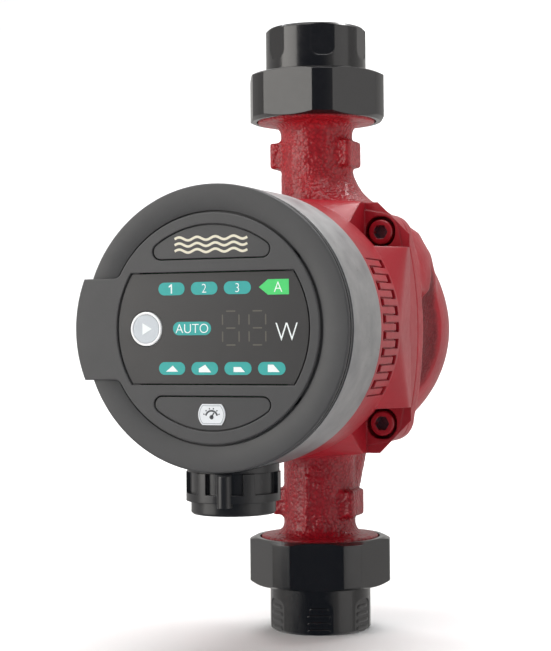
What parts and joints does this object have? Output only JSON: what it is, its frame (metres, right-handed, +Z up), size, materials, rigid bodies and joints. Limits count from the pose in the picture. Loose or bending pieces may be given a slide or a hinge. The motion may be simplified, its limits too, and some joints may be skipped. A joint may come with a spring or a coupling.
{
  "type": "circulator pump",
  "caption": "In-line wet-rotor circulator pump with threaded union fittings at both ends, a cast volute casing, a round control panel and a cable gland.",
  "frame": {"origin": "centre of the inlet tailpiece's end face, on the pipe axis", "axes": "+Z up the pipe from the inlet to the outlet, -Y towards the control panel, +X to the right seen from the panel"},
  "size_m": [0.1021, 0.1497, 0.239],
  "materials": {
    "casing_paint": "red enamel over rough cast iron",
    "shell_paint": "smooth red enamel",
    "bolt_paint": "red enamel",
    "ring_alloy": "satin, as cast and turned",
    "box_plastic": "fine textured charcoal",
    "cover_plastic": "fine textured charcoal",
    "panel_film": "satin film",
    "inset_plastic": "satin",
    "badge_white": "printed plastic",
    "lens_teal": "translucent teal",
    "lens_green": "translucent green",
    "display_black": "dark",
    "button_grey": "silver grey",
    "button_white": "white",
    "switch_black": "black",
    "board_green": "solder mask",
    "capacitor_can": "blue sleeve",
    "copper_wire": "enamelled copper",
    "terminal_green": "moulded",
    "gland_black": "semi-gloss black",
    "rubber_black": "EPDM",
    "washer_plastic": "natural nylon",
    "union_black": "glossy black lacquer",
    "fibre_gasket": "fibre sheet",
    "stainless": "pressed stainless steel",
    "carbon": "carbon bearing",
    "shaft_steel": "ground",
    "magnet_ferrite": "sintered ferrite",
    "lamination": "stacked laminations",
    "bobbin_nylon": "nylon",
    "impeller_plastic": "glass-filled plastic",
    "wear_bronze": "turned bronze"
  },
  "bodies": {
    "pump": {"pump_casing": "casing_paint", "wear_ring": "wear_bronze", "casing_gasket": "rubber_black", "bearing_plate": "stainless", "rear_bearing": "carbon", "rotor_can": "stainless", "bearing_holder": "stainless", "front_bearing": "carbon", "stator_core": "lamination", "stator_bobbins": "bobbin_nylon", "stator_windings": "copper_wire", "motor_shell": "shell_paint", "motor_bolts": "bolt_paint", "control_ring": "ring_alloy", "box_seal": "rubber_black", "control_box": "box_plastic", "box_screws": "stainless", "front_cover": "cover_plastic", "display_panel": "panel_film", "upper_inset": "inset_plastic", "lower_inset": "inset_plastic", "badge": "badge_white", "speed_lenses": "lens_teal", "auto_lens": "lens_teal", "curve_lenses": "lens_teal", "class_lens": "lens_green", "digit_module": "display_black", "tact_switch": "switch_black", "display_board": "board_green", "power_board": "board_green", "capacitors": "capacitor_can", "choke": "copper_wire", "terminal_block": "terminal_green", "gland_body": "gland_black", "gland_seal": "rubber_black", "outlet_gasket": "fibre_gasket"},
    "rotor": {"shaft": "shaft_steel", "thrust_ring": "carbon", "rotor_core": "lamination", "rotor_magnet": "magnet_ferrite", "rotor_sleeve": "stainless", "impeller_base": "impeller_plastic", "impeller_shroud": "impeller_plastic", "impeller_lock": "stainless"},
    "button": {"button_cap": "button_grey", "button_rim": "button_white"},
    "outlet_union": {"outlet_tailpiece": "union_black"},
    "outlet_nut": {"outlet_nut": "union_black"},
    "inlet_union": {"inlet_tailpiece": "union_black", "inlet_gasket": "fibre_gasket"},
    "inlet_nut": {"inlet_nut": "union_black"},
    "gland_washer": {"gland_washer": "washer_plastic"},
    "gland_nut": {"gland_nut": "gland_black"}
  },
  "joints": [
    {"name": "rotor_spin", "type": "hinge", "parent": "pump", "child": "rotor", "pos_m": [0, 0, 0.1195], "axis": [0, -1, 0], "continuous": true},
    {"name": "button_press", "type": "slide", "parent": "pump", "child": "button", "axis": [0, 1, 0], "range_m": [0, 0.0008], "stiffness_N_per_m": 1200, "springref_m": -0.0008},
    {"name": "outlet_draw", "type": "slide", "parent": "pump", "child": "outlet_union", "axis": [0, 0, 1], "range_m": [0, 0.00751]},
    {"name": "outlet_nut_turn", "type": "hinge", "parent": "outlet_union", "child": "outlet_nut", "pos_m": [0, 0, 0.212], "axis": [0, 0, 1], "range_deg": [0, 1170]},
    {"name": "inlet_draw", "type": "slide", "parent": "pump", "child": "inlet_union", "axis": [0, 0, -1], "range_m": [0, 0.00751]},
    {"name": "inlet_nut_turn", "type": "hinge", "parent": "inlet_union", "child": "inlet_nut", "pos_m": [0, 0, 0.027], "axis": [0, 0, -1], "range_deg": [0, 1170]},
    {"name": "gland_draw", "type": "slide", "parent": "pump", "child": "gland_washer", "axis": [0, 0, -1], "range_m": [0, 0.00801]},
    {"name": "gland_nut_turn", "type": "hinge", "parent": "gland_washer", "child": "gland_nut", "pos_m": [0, -0.0855, 0.06], "axis": [0, 0, -1], "range_deg": [0, 1440]}
  ],
  "couplings": [
    {"joint": "outlet_draw", "follows": "outlet_nut_turn", "m_per_rad": 0.00036749},
    {"joint": "inlet_draw", "follows": "inlet_nut_turn", "m_per_rad": 0.00036749},
    {"joint": "gland_draw", "follows": "gland_nut_turn", "m_per_rad": 0.00031831}
  ]
}
